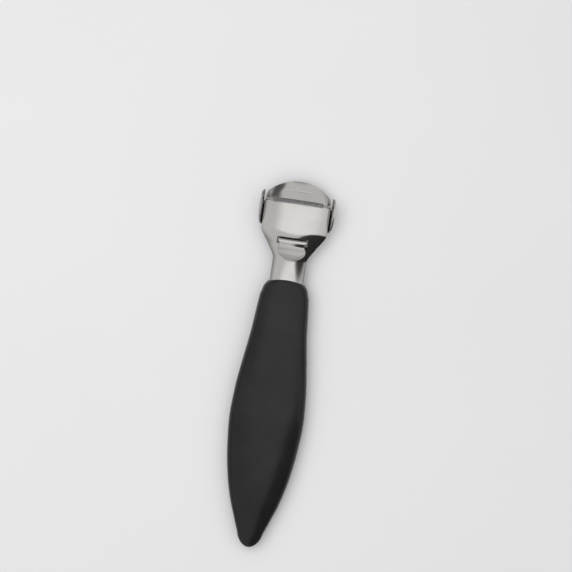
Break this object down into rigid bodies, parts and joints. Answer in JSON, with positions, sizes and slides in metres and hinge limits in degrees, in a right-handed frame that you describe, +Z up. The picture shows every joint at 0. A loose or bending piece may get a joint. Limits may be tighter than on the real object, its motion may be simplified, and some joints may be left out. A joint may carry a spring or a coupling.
{
  "type": "corn cutter",
  "caption": "Hand plane for corns and callus: arched polished head with a mouth slot, swing-open blade clamp, curved blade and a black leaf-shaped handle.",
  "frame": {"origin": "centre of the flat back's level, under the middle of the tool", "axes": "+Y along the tool towards the head, +X across it, +Z up out of the working face"},
  "size_m": [0.0322, 0.156, 0.0127],
  "materials": {
    "black_plastic": "gloss",
    "frame_steel": "polished",
    "clamp_steel": "polished",
    "blade_steel": "satin"
  },
  "bodies": {
    "handle": {"handle_front_shell": "black_plastic", "handle_back_shell": "black_plastic", "head_frame": "frame_steel"},
    "clamp": {"blade_clamp": "clamp_steel", "blade": "blade_steel"}
  },
  "joints": [
    {"name": "clamp_hinge", "type": "hinge", "parent": "handle", "child": "clamp", "pos_m": [0, 0.0524, 0.00987], "axis": [-1, 0, 0], "range_deg": [0, 28]}
  ]
}
